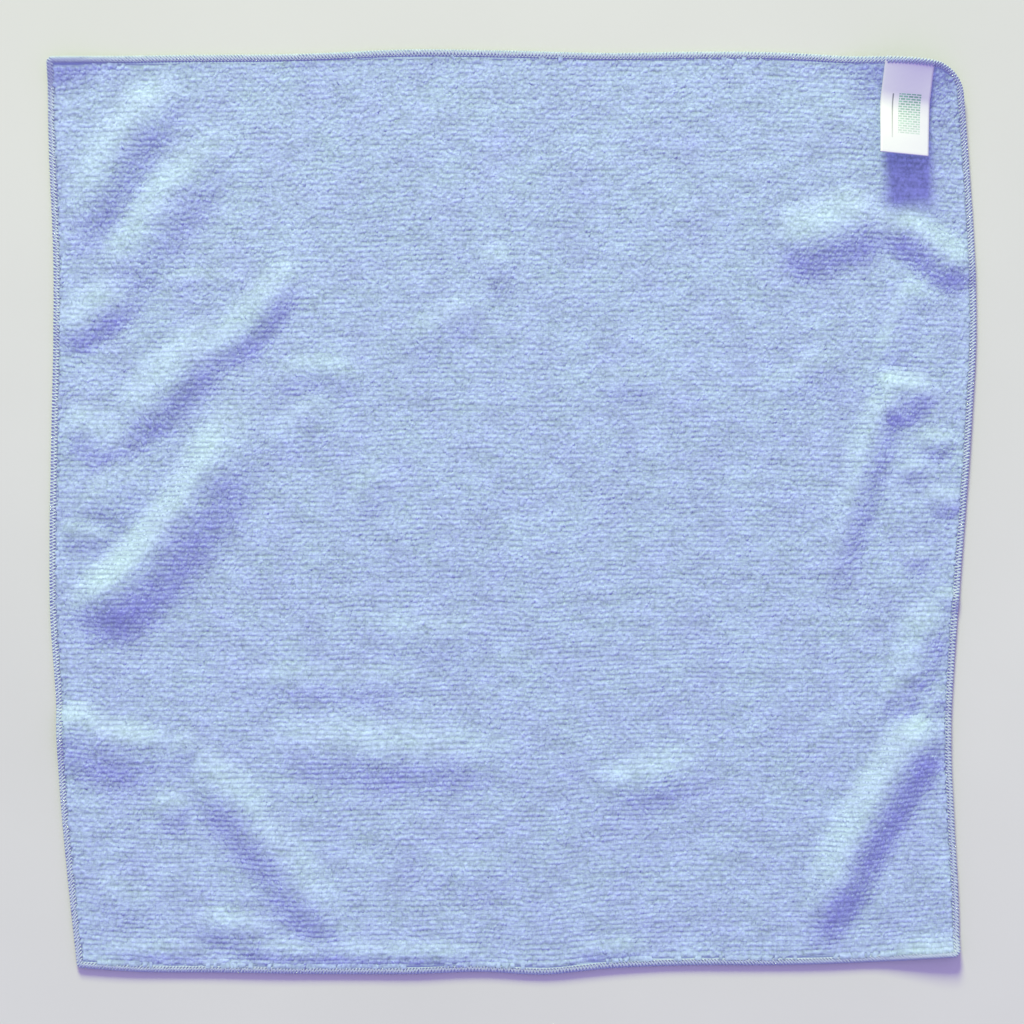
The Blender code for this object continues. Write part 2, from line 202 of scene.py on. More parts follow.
# The sheet under the pile, from the rim inwards: how far it stands clear of the surface, to
# leave room for the thread below, and its thickness
BODY_THICKNESS = 0.0012
Ring = namedtuple("Ring", "inset clear thickness")
HEM_RINGS = (
    Ring(0.0000, 0.00060, 0.00050),
    Ring(0.0004, 0.00056, 0.00068),
    Ring(0.0009, 0.00054, 0.00078),
    Ring(0.0014, 0.00050, 0.00084),
    Ring(0.0019, 0.00044, 0.00088),
    Ring(0.0024, 0.00038, 0.00092),
    Ring(0.0030, 0.00030, 0.00098),
    Ring(0.0038, 0.00020, 0.00106),
    Ring(0.0048, 0.00008, 0.00114),
    Ring(0.0064, 0.00000, 0.00120),
)
SHEET_COLUMNS = 160
SHEET_ROWS = 160
RIM_STEPS = 161  # points along each edge, where the laid plan is measured

# The pile: rows of tufts across the cloth, each tuft wide enough to close on the next rows'
ROW_PITCH = 0.00206
WAVE_PERIOD = 0.314  # a wave texture's period at a scale of 1
TUFT_PITCH = 0.00085
PILE_INSET = 0.0034
TUFT_LENGTH = 0.00170
TUFT_WIDTH = 0.00270
TUFT_HEIGHT = 0.00036
TUFT_ROOT = 0.00002  # how far a tuft's foot is sunk in the sheet
RIDGE_SHARE = 0.35  # how long a tuft's ridge is, as a share of its foot
SLOPE_STEP = 0.0004  # how far apart the cloth is sampled to find its slope under a tuft
PILE_SOFTNESS = 0.20  # how far the pile is shaded as one soft surface rather than as tufts
PILE_PIECES = 4
PILE_SEED = 5
# How the rows sway, and how far tufts stray from their row
ROW_SWAY = 0.0008
SWAY_BROAD = Noise(0.022, 0.008, 21)
SWAY_FINE = Noise(0.009, 0.004, 22)
SWAY_FINE_SHARE = 0.4
ROW_FRAY = 0.115  # as a share of the rows' pitch
FRAY_NOISE = Noise(0.030, 0.020, 23)
FRAY_UNEVENNESS = 0.35
FRAY_TOWARDS_TOP = 0.5  # how much looser the rows are at the top edge than half way down
TUFT_STRAY = 0.30  # along the row, as a share of the tufts' pitch
# How tufts turn, in radians, and lean, as a share of their height: alike in small patches, and
# each by chance. Then how their own sizes vary.
TURN_NOISE = Noise(0.008, 0.006, 31)
TURN_ALIKE = 0.35
TURN_BY_CHANCE = 0.30
LEAN_X_NOISE = Noise(0.012, 0.009, 32)
LEAN_Y_NOISE = Noise(0.012, 0.009, 33)
LEAN_ALIKE = 0.4
LEAN_BY_CHANCE = 0.5
TUFT_LONG = (0.75, 1.25)
TUFT_WIDE = (0.80, 1.15)
TUFT_TALL = (0.60, 1.30)
# Its colour: how much lighter or darker it is painted by the height on its tuft, as painted shade at the
# tufts' feet where they meet; by the fibres' grain, which is also painted lighter on the bump's high
# points and darker in its hollows as shade; by wider mottling and by chance
CROWN_MIDDLE = 0.75
FOOT_SHADE_SHARE = 0.32
GRAIN_AND_SHADE_SHARE = 0.54
MOTTLE_SHARE = 0.52
TONE_SHARE = 0.02
GRAIN_SCALE = (520.0, 580.0, 640.0)
GRAIN_DETAIL = 0.6
GRAIN_DEPTH = 0.00036
MOTTLE_SCALE = (90.0, 200.0, 150.0)
COLOUR_PATCH_SCALE = 55.0
RIB_DEPTH = 0.0003

# The overlock: two slanting threads a stitch over the edge, and a line of needle stitches
STITCH_PITCH = 0.00150
STITCH_WOBBLE = 0.06  # how unevenly the loops are spaced, as a share of their pitch
STITCH_SEED = 7
THREAD_WIDTH = 0.00080
THREAD_DEPTH = 0.00026
NEEDLE_WIDTH = 0.0004
NEEDLE_DEPTH = 0.0003
FIBRE_DEPTH = 0.00008
# The hem's core, which the flat sides of the loops face
CORE_INSET = 0.0015
CORE_HEIGHT = 0.00060
# A thread's way through one stitch: inset from the rim, height above the sheet's foot, and how
# much of the stitch it has gone forward
ThreadPoint = namedtuple("ThreadPoint", "inset height forward")
LOOP_WAY = (
    ThreadPoint(0.0028, 0.00100, 0.00),
    ThreadPoint(0.0022, 0.00104, 0.10),
    ThreadPoint(0.0015, 0.00100, 0.24),
    ThreadPoint(0.0007, 0.00086, 0.38),
    ThreadPoint(0.0000, 0.00056, 0.48),
    ThreadPoint(0.0002, 0.00005, 0.52),
    ThreadPoint(0.0012, -0.00030, 0.60),
)
NEEDLE_WAY = (
    ThreadPoint(0.0026, 0.00080, 0.10),
    ThreadPoint(0.0026, 0.00100, 0.30),
    ThreadPoint(0.0026, 0.00100, 0.70),
    ThreadPoint(0.0026, 0.00080, 0.90),
)

# The label: a satin ribbon, folded across at its free end. Its first values are the solid's.
LABEL_WIDTH = 0.0206
LABEL_THICKNESS = 0.0010
LABEL_EDGE_SHARE = 0.9420
LABEL_CREASE = 0.0187
LABEL_CREASE_SLANT = 0.17
LABEL_TURN = 0.098
LABEL_TURN_PAST = 0.058
LABEL_SKEW = 0.080
LABEL_TWIST = 0.0014
CLOTH_THICKNESS = 0.0020
GAP = 0.0004
# Its rise above the cloth beneath it, by how far it has run past the crease
Rise = namedtuple("Rise", "past height")
LABEL_RISES = (
    Rise(-0.0060, 0.0000),
    Rise(-0.0020, 0.0001),
    Rise(0.0020, 0.0010),
    Rise(0.0080, 0.0031),
    Rise(0.0160, 0.0063),
    Rise(0.0242, 0.0094),
)
LABEL_START = 0.0008
LABEL_END = 0.0410
RIBBON_THICKNESS = 0.00020
LABEL_SEWN_DROP = 0.0009  # how much lower it lies where the overlock holds it down
LABEL_SEWN_RUN = 0.0165
LABEL_SEWN_BULGE = 0.00062  # how much higher the overlock passes over it
LABEL_SEWN_MARGIN = 0.0008  # how far past its sides the overlock is raised
LABEL_SEWN_FADE = 0.0012  # and over what width it comes down again
LABEL_PRESS = 0.5  # how far its two layers are pressed together there
LABEL_ACROSS = 24
LABEL_ALONG = 48
LABEL_FOLD_STEPS = 8
WEAVE_PITCH = 0.0005
WEAVE_DEPTH = 0.00003
# The ribbon's white, dulled and tinted lavender: partly painted shade, laid over the whole ribbon
RIBBON_SHADED_WHITE = (0.69, 0.68, 0.81, 1.0)
RULE_COLOUR = (0.10, 0.11, 0.16, 1.0)
# The generic print: where it lies across the ribbon and along it, from the root underneath,
# round the free end and back, and how strong its ink is at its start and end. Its fading towards
# the free end is painted highlight, the lamp's glare on the ribbon's lifted part.
Patch = namedtuple("Patch", "left right start end faint strong")
DASH_BLOCK = Patch(-0.0028, 0.0064, 0.0514, 0.0692, 0.35, 0.85)
THIN_RULE = Patch(-0.0056, -0.0050, 0.0490, 0.0690, 0.25, 0.80)
DASH_SCALE = (230.0, 230.0, 1.0)
DASH_DARK = (0.06, 0.26, 0.20, 1.0)
DASH_LIGHT = (0.16, 0.46, 0.34, 1.0)
DASH_SPACING = 0.045
DASH_BLUR = 0.2

# The floor, just under the cloth
FLOOR_HALF_SIDE = 3.0
FLOOR_CELLS = 8
FLOOR_DROP = 0.0002

# The light: one lamp low beyond the edge with the label, and a violet sky that fills the shades
KEY_COLOUR = (0.847, 1.0, 0.390)
SKY_COLOUR = (0.610, 0.510, 1.0, 1.0)
SKY_STRENGTH = 0.788

# The view: straight down on the cloth
PICTURE_WIDTH = 0.4352  # what the picture spans at the height of the pile
PICTURE_LEVEL = 0.0020  # the height of the pile
LENS = 85.0
SENSOR = 36.0


def smooth_through(places, values, wanted):
    """The value at each wanted place of a smooth curve through the values."""
    places = np.asarray(places)
    values = np.asarray(values)
    slopes = np.gradient(values, places)
    left = np.clip(np.searchsorted(places, wanted) - 1, 0, len(places) - 2)
    gap = places[left + 1] - places[left]
    t = (wanted - places[left]) / gap
    held = values[left] * (1 + 2 * t) * (1 - t) ** 2 + values[left + 1] * t * t * (3 - 2 * t)
    turned = slopes[left] * t * (1 - t) ** 2 - slopes[left + 1] * t * t * (1 - t)
    return held + gap * turned


def soft_step(t):
    """0 to 1 with level ends."""
    t = np.clip(t, 0.0, 1.0)
    return t * t * (3 - 2 * t)


def soft_bump(distance):
    """1 at no distance, falling to a level 0 at a distance of 1."""
    near = np.clip(distance, 0.0, 1.0)
    return (1 - near * near) ** BUMP_POWER


def soft_noise(x, y, noise):
    """Smooth random values from -1 to 1, in patches of the noise's size."""
    table = np.random.default_rng(noise.seed).uniform(-1.0, 1.0, (NOISE_SIDE, NOISE_SIDE))
    across = x / noise.size_x
    along = y / noise.size_y
    column = np.floor(across).astype(int)
    row = np.floor(along).astype(int)
    t = soft_step(across - column)
    u = soft_step(along - row)
    column, row = column % NOISE_SIDE, row % NOISE_SIDE
    next_column, next_row = (column + 1) % NOISE_SIDE, (row + 1) % NOISE_SIDE
    low = (1 - t) * table[row, column] + t * table[row, next_column]
    high = (1 - t) * table[next_row, column] + t * table[next_row, next_column]
    return (1 - u) * low + u * high


def edge_points(start, end, stations, outwards, share):
    """Points on one edge of the cloth at each share of it."""
    start_point = np.array((start.x, start.y))
    end_point = np.array((end.x, end.y))
    out = smooth_through([s.share for s in stations], [s.out for s in stations], share)
    line = start_point + np.outer(share, end_point - start_point)
    return line + np.outer(out, outwards)


def rounded_cut(x, y):
    """Draws points of the square cut near a corner in to that corner's arc."""
    x = x.copy()
    y = y.copy()
    corners = ((BOTTOM_LEFT, -1, -1), (BOTTOM_RIGHT, 1, -1), (TOP_LEFT, -1, 1), (TOP_RIGHT, 1, 1))
    for corner, side_x, side_y in corners:
        centre = HALF_SIDE - corner.radius
        a = (x * side_x - centre) / corner.radius
        b = (y * side_y - centre) / corner.radius
        inside = (a > 0) & (b > 0)
        reach = np.maximum(a, b)
        low = np.minimum(a, b)
        share = np.where(inside, low / np.where(inside, reach, 1.0), 0.0)
        angle = np.where(a >= b, share, 2 - share) * np.pi / 4
        x = np.where(inside, side_x * (centre + corner.radius * reach * np.cos(angle)), x)
        y = np.where(inside, side_y * (centre + corner.radius * reach * np.sin(angle)), y)
    return x, y


def laid_plan(cut_x, cut_y):
    """Where points of the flat cut lie, seen from above: a patch blended from the four edges."""
    cut_x, cut_y = rounded_cut(cut_x, cut_y)
    u = cut_x / CLOTH_SIDE + 0.5
    v = cut_y / CLOTH_SIDE + 0.5
    bottom = edge_points(BOTTOM_LEFT, BOTTOM_RIGHT, BOTTOM_EDGE, (0, -1), u)
    top = edge_points(TOP_LEFT, TOP_RIGHT, TOP_EDGE, (0, 1), u)
    left = edge_points(BOTTOM_LEFT, TOP_LEFT, LEFT_EDGE, (-1, 0), v)
    right = edge_points(BOTTOM_RIGHT, TOP_RIGHT, RIGHT_EDGE, (1, 0), v)
    u = u[:, None]
    v = v[:, None]
    flat = (1 - u) * (1 - v) * np.array((BOTTOM_LEFT.x, BOTTOM_LEFT.y))
    flat = flat + u * (1 - v) * np.array((BOTTOM_RIGHT.x, BOTTOM_RIGHT.y))
    flat = flat + (1 - u) * v * np.array((TOP_LEFT.x, TOP_LEFT.y))
    flat = flat + u * v * np.array((TOP_RIGHT.x, TOP_RIGHT.y))
    plan = (1 - v) * bottom + v * top + (1 - u) * left + u * right - flat
    return plan[:, 0], plan[:, 1]


def from_photo(place):
    """A place in the photo, in pixels, as a place on the surface, in metres."""
    across, down = place
    return (across - PHOTO_MIDDLE[0]) * PHOTO_SCALE, (PHOTO_MIDDLE[1] - down) * PHOTO_SCALE


def crest_points(fold):
    """Points along a fold's crest, on one smooth bend through its three points."""
    places = (fold.start, fold.middle, fold.end)
    start, middle, end = (np.array(from_photo(place)) for place in places)
    pull = 2 * middle - (start + end) / 2
    t = np.linspace(0.0, 1.0, CREST_STEPS + 1)[:, None]
    return (1 - t) ** 2 * start + 2 * t * (1 - t) * pull + t * t * end


def fold_height(fold, x, y):
    """How high one fold lifts the cloth at each point."""
    crest = crest_points(fold)
    runs = np.diff(crest, axis=0)
    lengths = np.hypot(runs[:, 0], runs[:, 1])
    passed = np.concatenate(([0.0], np.cumsum(lengths)))
    nearest = np.full(x.shape, np.inf)
    reach = np.ones(x.shape)
    along = np.zeros(x.shape)
    for (from_x, from_y), (run_x, run_y), length, before in zip(crest, runs, lengths, passed):
        t = ((x - from_x) * run_x + (y - from_y) * run_y) / length**2
        t = np.clip(t, 0.0, 1.0)
        off_x = x - from_x - t * run_x
        off_y = y - from_y - t * run_y
        distance = np.hypot(off_x, off_y)
        closer = distance < nearest
        on_left = run_x * off_y - run_y * off_x > 0
        nearest = np.where(closer, distance, nearest)
        own_reach = np.where(on_left, LEFT_SCALE * fold.left, RIGHT_SCALE * fold.right)
        reach = np.where(closer, own_reach, reach)
        along = np.where(closer, (before + t * length) / passed[-1], along)
    ends = soft_step(along / fold.rise) * soft_step((1 - along) / fold.fall)
    spread = reach * (FOLD_TIP + (1 - FOLD_TIP) * ends)
    return HEIGHT_SCALE * fold.height * soft_bump(nearest / spread) * ends


def near_fold(fold, x, y):
    """Which points a fold can reach, by the box round its crest."""
    crest = crest_points(fold)
    reach = max(LEFT_SCALE * fold.left, RIGHT_SCALE * fold.right)
    low = crest.min(axis=0) - reach
    high = crest.max(axis=0) + reach
    return (x > low[0]) & (x < high[0]) & (y > low[1]) & (y < high[1])


def solid_height(x, y, folds=FOLDS):
    """Height of the solid cloth's underside above the surface."""
    height = np.zeros(x.shape)
    for fold in folds:
        near = near_fold(fold, x, y)
        height[near] += fold_height(fold, x[near], y[near])
    for lift in LIFTS:
        distance = np.hypot((x - lift.x) / lift.reach_x, (y - lift.y) / lift.reach_y)
        height += lift.height * soft_bump(distance)
    return height


def cloth_height(x, y):
    """Height of the cloth's underside, with its fine creases and swells."""
    height = solid_height(x, y, FOLDS + WRINKLES)
    for swell in SWELLS:
        height += swell.height * (1 + soft_noise(x, y, swell.noise)) / 2
    return height


def hem_value(inset, column):
    """One column of the hem's table at each inset from the rim."""
    insets = [ring.inset for ring in HEM_RINGS]
    return np.interp(inset, insets, [getattr(ring, column) for ring in HEM_RINGS])


def inset_of(cut_x, cut_y):
    return HALF_SIDE - np.maximum(abs(cut_x), abs(cut_y))


def surface_points(cut_x, cut_y, above):
    """Points that stand above the cloth's underside, given where they are on the flat cut."""
    x, y = laid_plan(cut_x, cut_y)
    clear = hem_value(inset_of(cut_x, cut_y), "clear")
    return np.column_stack((x, y, cloth_height(x, y) + clear + above)) + shift


def find_shift():
    """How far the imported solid's frame lies from the tables' own, in plan."""
    steps = np.linspace(-HALF_SIDE, HALF_SIDE, RIM_STEPS)
    rim = np.full(steps.shape, HALF_SIDE)
    x, y = laid_plan(
        np.concatenate((steps, steps, -rim, rim)), np.concatenate((-rim, rim, steps, steps))
    )
    low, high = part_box("cloth")
    middle_x = (low[0] + high[0]) / 2 - (x.min() + x.max()) / 2
    middle_y = (low[1] + high[1]) / 2 - (y.min() + y.max()) / 2
    return np.array((middle_x, middle_y, 0.0))


shift = find_shift()


# ---- Materials ----

def new_material(name):
    material = bpy.data.materials.new(name)
    material.use_nodes = True
    return material, material.node_tree.nodes, material.node_tree.links


def add_node(nodes, kind, **settings):
    node = nodes.new(kind)
    for name, value in settings.items():
        setattr(node, name, value)
    return node


def noise_node(nodes, links, coordinates, scale, detail=2.0, roughness=0.5):
    node = nodes.new("ShaderNodeTexNoise")
    node.inputs["Scale"].default_value = scale
    node.inputs["Detail"].default_value = detail
    node.inputs["Roughness"].default_value = roughness
    links.new(coordinates, node.inputs["Vector"])
    return node.outputs["Fac"]


def ramp_node(nodes, links, value, stops):
    """A colour ramp through (place, colour) stops."""
    node = nodes.new("ShaderNodeValToRGB")
    elements = node.color_ramp.elements
    elements[0].position, elements[0].color = stops[0]
    elements[1].position, elements[1].color = stops[-1]
    for place, colour in stops[1:-1]:
        elements.new(place).color = colour
    links.new(value, node.inputs["Fac"])
    return node.outputs["Color"]


def mix_colour(nodes, links, blend, factor, first, second):
    node = nodes.new("ShaderNodeMix")
    node.data_type = "RGBA"
    node.blend_type = blend
    node.inputs["Factor"].default_value = factor
    links.new(first, node.inputs["A"])
    links.new(second, node.inputs["B"])
    return node.outputs["Result"]


def stretched(nodes, links, coordinates, scale):
    node = nodes.new("ShaderNodeMapping")
    node.inputs["Scale"].default_value = scale
    links.new(coordinates, node.inputs["Vector"])
    return node.outputs["Vector"]


def scaled_sum(nodes, links, value, factor, added):
    """The value times the factor, plus a number or another node's value."""
    node = add_node(nodes, "ShaderNodeMath", operation="MULTIPLY_ADD")
    links.new(value, node.inputs[0])
    node.inputs[1].default_value = factor
    if isinstance(added, float):
        node.inputs[2].default_value = added
    else:
        links.new(added, node.inputs[2])
    return node.outputs["Value"]


def add_bump(nodes, links, height, strength, depth):
    """Roughens the material's surface by another node's height."""
    bump = nodes.new("ShaderNodeBump")
    bump.inputs["Strength"].default_value = strength
    bump.inputs["Distance"].default_value = depth
    links.new(height, bump.inputs["Height"])
    links.new(bump.outputs["Normal"], nodes["Principled BSDF"].inputs["Normal"])


def pile_material():
    """Blue microfibre: broad patches, tufts painted darker at their feet as shade and paler on their
    crowns, and the grain of the fibres, partly painted shade.
    """
    material, nodes, links = new_material("microfibre_pile")
    shader = nodes["Principled BSDF"]
    place = nodes.new("ShaderNodeTexCoord").outputs["Object"]
    patches = noise_node(nodes, links, place, COLOUR_PATCH_SCALE, detail=3.0)
    broad = ramp_node(nodes, links, patches, (
        (0.30, (0.412, 0.504, 0.800, 1.0)),
        (0.70, (0.442, 0.568, 0.800, 1.0)),
    ))
    grain_place = stretched(nodes, links, place, GRAIN_SCALE)
    grain = noise_node(nodes, links, grain_place, 1.0, detail=GRAIN_DETAIL)
    mottle_place = stretched(nodes, links, place, MOTTLE_SCALE)
    mottle = noise_node(nodes, links, mottle_place, 1.0, detail=3.0)
    tone = add_node(nodes, "ShaderNodeAttribute", attribute_name="tone").outputs["Fac"]
    crown = add_node(nodes, "ShaderNodeAttribute", attribute_name="crown").outputs["Fac"]
    level = 0.5 - CROWN_MIDDLE * FOOT_SHADE_SHARE - (GRAIN_AND_SHADE_SHARE + MOTTLE_SHARE) / 2
    shares = ((crown, FOOT_SHADE_SHARE), (grain, GRAIN_AND_SHADE_SHARE), (mottle, MOTTLE_SHARE), (tone, TONE_SHARE))
    for value, share in shares:
        level = scaled_sum(nodes, links, value, share, level)
    # The level becomes a factor on the colour. For the crowns and the grain it is painted shade where low
    # and painted light where high; the mottling and chance tones are the cloth's own.
    shade = ramp_node(nodes, links, level, (
        (0.0, (0.50, 0.53, 0.47, 1.0)),
        (1.0, (1.50, 1.47, 1.53, 1.0)),
    ))
    colour = mix_colour(nodes, links, "MULTIPLY", 1.0, broad, shade)
    links.new(colour, shader.inputs["Base Color"])
    add_bump(nodes, links, grain, 1.0, GRAIN_DEPTH)
    shader.inputs["Roughness"].default_value = 0.95
    shader.inputs["Specular IOR Level"].default_value = 0.15
    shader.inputs["Sheen Weight"].default_value = 0.15
    shader.inputs["Sheen Roughness"].default_value = 0.5
    shader.inputs["Sheen Tint"].default_value = (0.80, 0.90, 1.0, 1.0)
    return material


def sheet_material():
    """The knitted ground under the pile: the same blue, a shade deeper, with ribs in rows."""
    material, nodes, links = new_material("microfibre_ground")
    shader = nodes["Principled BSDF"]
    place = nodes.new("ShaderNodeTexCoord").outputs["Object"]
    patches = noise_node(nodes, links, place, COLOUR_PATCH_SCALE, detail=3.0)
    broad = ramp_node(nodes, links, patches, (
        (0.30, (0.34, 0.42, 0.67, 1.0)),
        (0.70, (0.36, 0.47, 0.67, 1.0)),
    ))
    links.new(broad, shader.inputs["Base Color"])
    ribs = add_node(nodes, "ShaderNodeTexWave", bands_direction="Y")
    ribs.inputs["Scale"].default_value = WAVE_PERIOD / ROW_PITCH
    ribs.inputs["Distortion"].default_value = 2.0
    ribs.inputs["Detail"].default_value = 2.0
    ribs.inputs["Detail Scale"].default_value = 2.0
    links.new(place, ribs.inputs["Vector"])
    add_bump(nodes, links, ribs.outputs["Fac"], 0.7, RIB_DEPTH)
    shader.inputs["Roughness"].default_value = 0.95
    shader.inputs["Specular IOR Level"].default_value = 0.2
    shader.inputs["Sheen Weight"].default_value = 0.2
    return material


def thread_material():
    """The overlock's thread: textured floss, paler and greyer than the cloth."""
    material, nodes, links = new_material("overlock_thread")
    shader = nodes["Principled BSDF"]
    place = nodes.new("ShaderNodeTexCoord").outputs["Object"]
    tone = noise_node(nodes, links, place, 420.0, detail=2.0)
    colour = ramp_node(nodes, links, tone, (
        (0.25, (0.40, 0.46, 0.69, 1.0)),
        (0.75, (0.47, 0.54, 0.76, 1.0)),
    ))
    links.new(colour, shader.inputs["Base Color"])
    fibres = noise_node(nodes, links, place, 5200.0, detail=2.0)
    add_bump(nodes, links, fibres, 0.4, FIBRE_DEPTH)
    shader.inputs["Roughness"].default_value = 0.8
    shader.inputs["Sheen Weight"].default_value = 0.3
    return material


def print_mask(nodes, links, across, along, patch):
    """1 inside one rectangle of the ribbon."""
    inside = []
    for value, start, end in ((across, patch.left, patch.right), (along, patch.start, patch.end)):
        near = add_node(nodes, "ShaderNodeMath", operation="COMPARE")
        near.inputs[1].default_value = (start + end) / 2
        near.inputs[2].default_value = (end - start) / 2
        links.new(value, near.inputs[0])
        inside.append(near.outputs[0])
    both = add_node(nodes, "ShaderNodeMath", operation="MULTIPLY")
    links.new(inside[0], both.inputs[0])
    links.new(inside[1], both.inputs[1])
    return both.outputs[0]


def print_strength(nodes, links, across, along, patch):
    """How strong the ink is in one rectangle of the ribbon, from faint to strong along it: the fading is
    painted highlight, the lamp's glare where the ribbon lifts.
    """
    painted_glare_fade = add_node(nodes, "ShaderNodeMapRange")
    painted_glare_fade.inputs["From Min"].default_value = patch.start
    painted_glare_fade.inputs["From Max"].default_value = patch.end
    painted_glare_fade.inputs["To Min"].default_value = patch.faint
    painted_glare_fade.inputs["To Max"].default_value = patch.strong
    links.new(along, painted_glare_fade.inputs["Value"])
    strength = add_node(nodes, "ShaderNodeMath", operation="MULTIPLY")
    links.new(print_mask(nodes, links, across, along, patch), strength.inputs[0])
    links.new(painted_glare_fade.outputs["Result"], strength.inputs[1])
    return strength.outputs[0]


def dash_ink(nodes, links, place):
    """Rows of green dashes on the ribbon's white."""
    dashes = add_node(nodes, "ShaderNodeTexBrick", offset=0.5)
    dashes.inputs["Scale"].default_value = 1.0
    dashes.inputs["Mortar Size"].default_value = DASH_SPACING
    dashes.inputs["Mortar Smooth"].default_value = DASH_BLUR
    dashes.inputs["Color1"].default_value = DASH_DARK
    dashes.inputs["Color2"].default_value = DASH_LIGHT
    dashes.inputs["Mortar"].default_value = RIBBON_SHADED_WHITE
    links.new(stretched(nodes, links, place, DASH_SCALE), dashes.inputs["Vector"])
    return dashes.outputs["Color"]


def satin_material():
    """White satin ribbon. Its print is generic: a block of green dashes beside one thin rule."""
    material, nodes, links = new_material("label_satin_woven")
    shader = nodes["Principled BSDF"]
    place = nodes.new("ShaderNodeTexCoord").outputs["UV"]
    parts = nodes.new("ShaderNodeSeparateXYZ")
    links.new(place, parts.inputs[0])
    colour = None
    for patch, ink in ((DASH_BLOCK, dash_ink(nodes, links, place)), (THIN_RULE, None)):
        strength = print_strength(nodes, links, parts.outputs["X"], parts.outputs["Y"], patch)
        mix = add_node(nodes, "ShaderNodeMix", data_type="RGBA")
        links.new(strength, mix.inputs["Factor"])
        mix.inputs["A"].default_value = RIBBON_SHADED_WHITE
        mix.inputs["B"].default_value = RULE_COLOUR
        if colour is not None:
            links.new(colour, mix.inputs["A"])
        if ink is not None:
            links.new(ink, mix.inputs["B"])
        colour = mix.outputs["Result"]
    links.new(colour, shader.inputs["Base Color"])
    shader.inputs["Roughness"].default_value = 0.42
    weave = add_node(nodes, "ShaderNodeTexWave", bands_direction="Y")
    weave.inputs["Scale"].default_value = WAVE_PERIOD / WEAVE_PITCH
    links.new(place, weave.inputs["Vector"])
    add_bump(nodes, links, weave.outputs["Fac"], 0.15, WEAVE_DEPTH)
    return material


def floor_material():
    """A plain pale matt floor, with a faint unevenness."""
    material, nodes, links = new_material("floor_pale")
    shader = nodes["Principled BSDF"]
    place = nodes.new("ShaderNodeTexCoord").outputs["Object"]
    tone = noise_node(nodes, links, place, 6.0, detail=4.0)
    colour = ramp_node(nodes, links, tone, (
        (0.30, (0.66, 0.66, 0.66, 1.0)),
        (0.70, (0.70, 0.70, 0.70, 1.0)),
    ))
    links.new(colour, shader.inputs["Base Color"])
    shader.inputs["Roughness"].default_value = 0.85
    return material


# ---- Meshes ----

def mesh_object(name, points, faces, material):
    """An object from an array of points and an array of faces that all have as many corners."""
    faces = np.asarray(faces)
    mesh = bpy.data.meshes.new(name)
    mesh.vertices.add(len(points))
    mesh.vertices.foreach_set("co", np.asarray(points, np.float32).ravel())
    mesh.loops.add(faces.size)
    mesh.loops.foreach_set("vertex_index", faces.ravel().astype(np.int32))
    mesh.polygons.add(len(faces))
    mesh.polygons.foreach_set("loop_start", np.arange(0, faces.size, faces.shape[1], dtype=np.int32))
    mesh.update(calc_edges=True)
    mesh.shade_smooth()
    mesh.materials.append(material)
    piece = bpy.data.objects.new(name, mesh)
    bpy.context.scene.collection.objects.link(piece)
    return piece


def grid_faces(columns, rows):
    """Quads between the points of a grid that is stored row by row, with columns to a row."""
    corner = np.arange((columns - 1) * (rows - 1))
    corner = corner + corner // (columns - 1)
    return np.column_stack((corner, corner + 1, corner + 1 + columns, corner + columns))


def cut_lines(cells):
    """Places of the grid's lines across the flat cut, the hem's rings at both ends among them."""
    insets = np.array([ring.inset for ring in HEM_RINGS])
    inner = HALF_SIDE - insets[-1]
    between = np.linspace(-inner, inner, cells + 1)[1:-1]
    rim = HALF_SIDE - insets
    return np.concatenate((-rim, between, rim[::-1]))


def apply_modifiers(piece):
    """Replaces a piece's mesh by the one that its modifiers make."""
    graph = bpy.context.evaluated_depsgraph_get()
    made = bpy.data.meshes.new_from_object(piece.evaluated_get(graph))
    piece.modifiers.clear()
    piece.data = made


def make_sheet():
    lines_x = cut_lines(SHEET_COLUMNS)
    lines_y = cut_lines(SHEET_ROWS)
    cut_x, cut_y = (part.ravel() for part in np.meshgrid(lines_x, lines_y))
    points = surface_points(cut_x, cut_y, 0.0)
    sheet = mesh_object("cloth_sheet", points, grid_faces(len(lines_x), len(lines_y)), sheet_material())
    thickness = hem_value(inset_of(cut_x, cut_y), "thickness") / BODY_THICKNESS
    hem = sheet.vertex_groups.new(name="hem")
    for index, share in enumerate(thickness):
        hem.add([index], float(share), "REPLACE")
    solidify = sheet.modifiers.new("Thickness", "SOLIDIFY")
    solidify.thickness = BODY_THICKNESS
    solidify.offset = 1.0
    solidify.vertex_group = hem.name
    apply_modifiers(sheet)
    return sheet


def tuft_shape():
    """One tuft about its root: a low ridge along X on a four-cornered foot."""
    foot_x, foot_y = TUFT_LENGTH / 2, TUFT_WIDTH / 2
    corners = np.array(((-1, -1), (1, -1), (1, 1), (-1, 1)))
    foot = np.column_stack((corners * (foot_x, foot_y), np.full(4, -TUFT_ROOT)))
    ridge_x = RIDGE_SHARE * foot_x
    ridge = np.array(((-ridge_x, 0.0, TUFT_HEIGHT), (ridge_x, 0.0, TUFT_HEIGHT)))
    faces = ((0, 1, 5), (0, 5, 4), (1, 2, 5), (2, 3, 4), (2, 4, 5), (3, 0, 4))
    return np.concatenate((foot, ridge)), np.array(faces)


